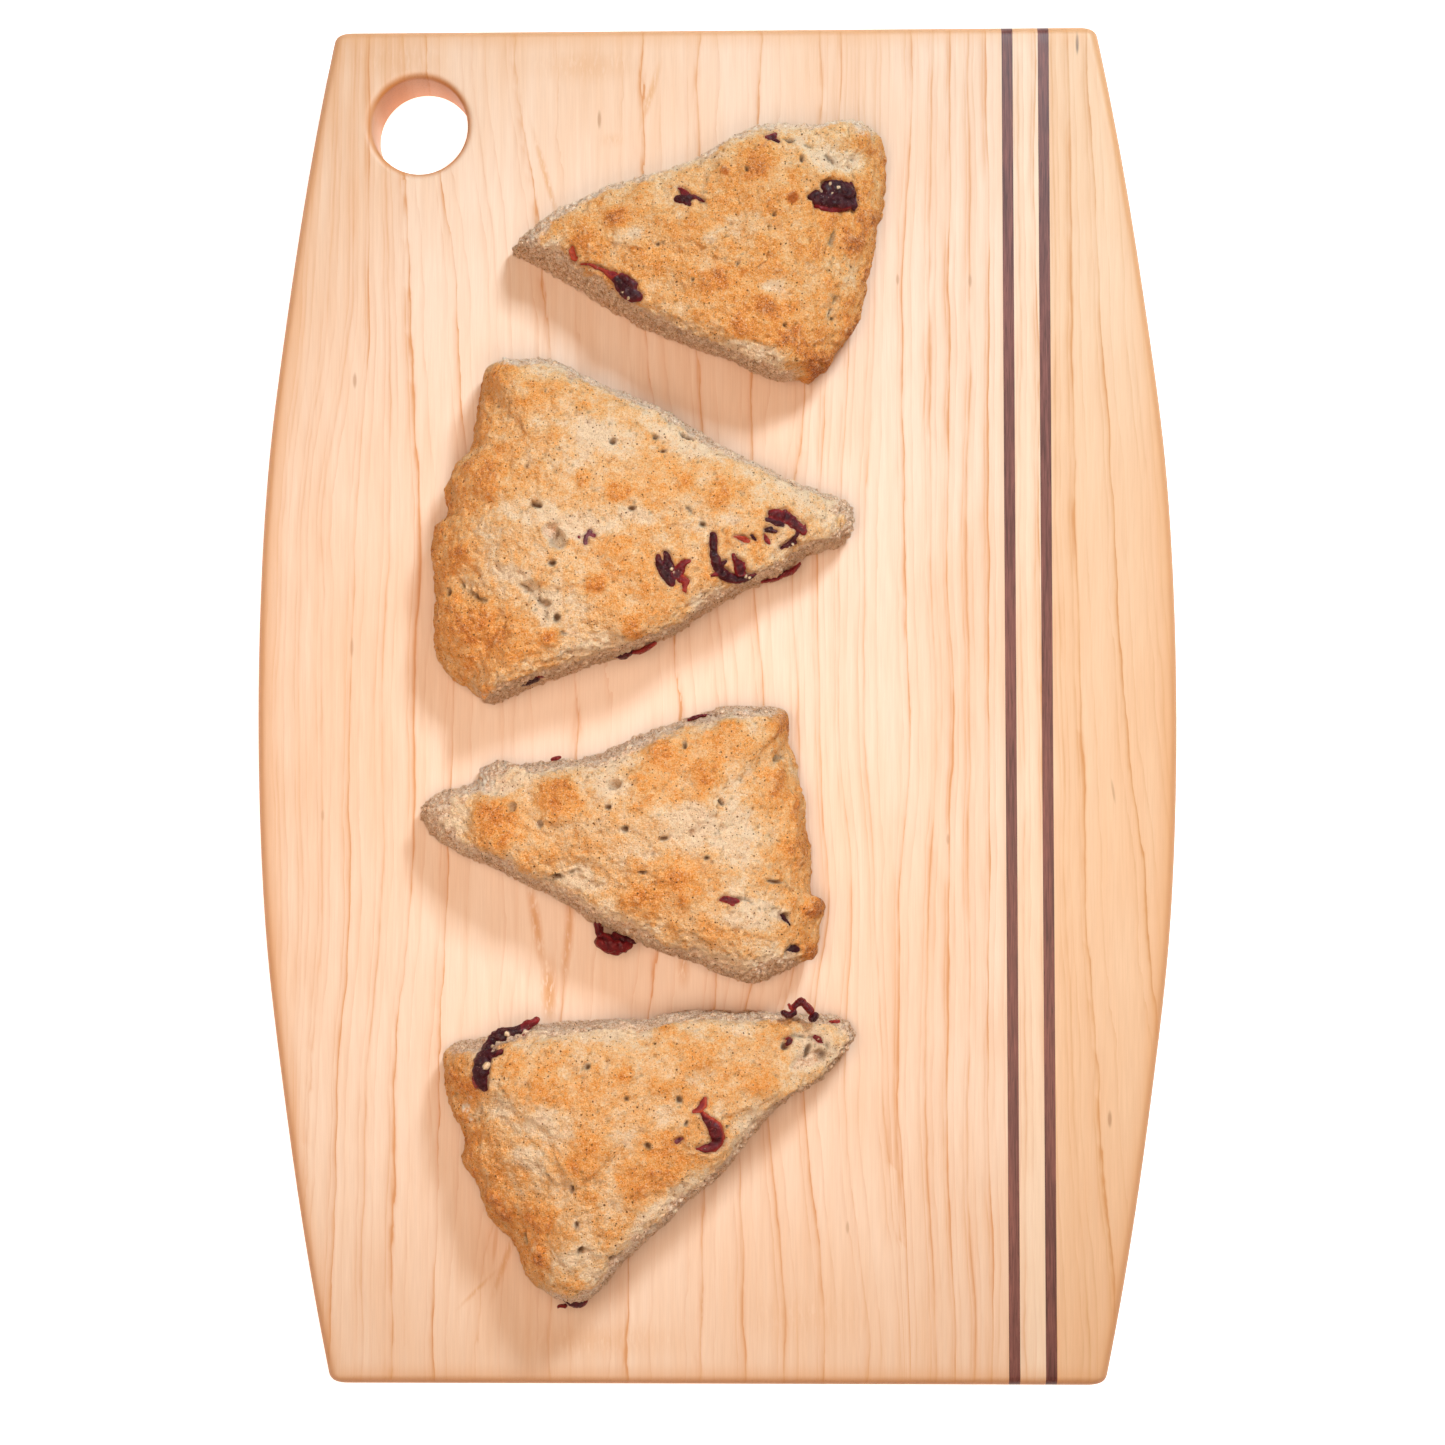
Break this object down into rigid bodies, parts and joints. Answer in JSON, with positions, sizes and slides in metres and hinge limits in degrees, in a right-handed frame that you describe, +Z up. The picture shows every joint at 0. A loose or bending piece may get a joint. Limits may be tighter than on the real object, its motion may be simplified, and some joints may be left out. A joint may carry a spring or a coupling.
{
  "type": "scones on cutting board",
  "caption": "Wedge-shaped cranberry-orange scones lying loose on a laminated maple cutting board with dark inlaid stripes, bowed long sides and a hanging hole.",
  "frame": {"origin": "centre of the board's underside", "axes": "+Z up, +Y along the board's length towards the end with the hanging hole, +X across it towards the dark stripes"},
  "size_m": [0.2384, 0.3556, 0.0504],
  "materials": {
    "maple": "satin oiled, fine straight grain with thin orange growth lines",
    "dark_wood": "satin oiled, purple-brown",
    "scone_crumb": "matte baked crust, golden with toasted spots, pale open crumb on the torn sides",
    "cranberry": "glossy wrinkled dark red skin"
  },
  "bodies": {
    "board": {"main_panel": "maple", "dark_stripe_left": "dark_wood", "maple_strip": "maple", "dark_stripe_right": "dark_wood", "edge_panel": "maple"},
    "scone_1": {"scone_1_crumb": "scone_crumb", "scone_1_cranberry_1": "cranberry", "scone_1_cranberry_2": "cranberry", "scone_1_cranberry_3": "cranberry", "scone_1_cranberry_4": "cranberry", "scone_1_cranberry_5": "cranberry", "scone_1_cranberry_6": "cranberry"},
    "scone_2": {"scone_2_crumb": "scone_crumb", "scone_2_cranberry_1": "cranberry", "scone_2_cranberry_2": "cranberry", "scone_2_cranberry_3": "cranberry", "scone_2_cranberry_4": "cranberry", "scone_2_cranberry_5": "cranberry", "scone_2_cranberry_6": "cranberry", "scone_2_cranberry_7": "cranberry", "scone_2_cranberry_8": "cranberry", "scone_2_cranberry_9": "cranberry", "scone_2_cranberry_10": "cranberry"},
    "scone_3": {"scone_3_crumb": "scone_crumb", "scone_3_cranberry_1": "cranberry", "scone_3_cranberry_2": "cranberry", "scone_3_cranberry_3": "cranberry", "scone_3_cranberry_4": "cranberry", "scone_3_cranberry_5": "cranberry", "scone_3_cranberry_6": "cranberry"},
    "scone_4": {"scone_4_crumb": "scone_crumb", "scone_4_cranberry_1": "cranberry", "scone_4_cranberry_2": "cranberry", "scone_4_cranberry_3": "cranberry", "scone_4_cranberry_4": "cranberry", "scone_4_cranberry_5": "cranberry", "scone_4_cranberry_6": "cranberry", "scone_4_cranberry_7": "cranberry", "scone_4_cranberry_8": "cranberry"}
  },
  "joints": [
    {"name": "scone_1_lift", "type": "slide", "parent": "board", "child": "scone_1", "axis": [0, 0, 1], "range_m": [0, 0.08]},
    {"name": "scone_2_lift", "type": "slide", "parent": "board", "child": "scone_2", "axis": [0, 0, 1], "range_m": [0, 0.08]},
    {"name": "scone_3_lift", "type": "slide", "parent": "board", "child": "scone_3", "axis": [0, 0, 1], "range_m": [0, 0.08]},
    {"name": "scone_4_lift", "type": "slide", "parent": "board", "child": "scone_4", "axis": [0, 0, 1], "range_m": [0, 0.08]}
  ]
}
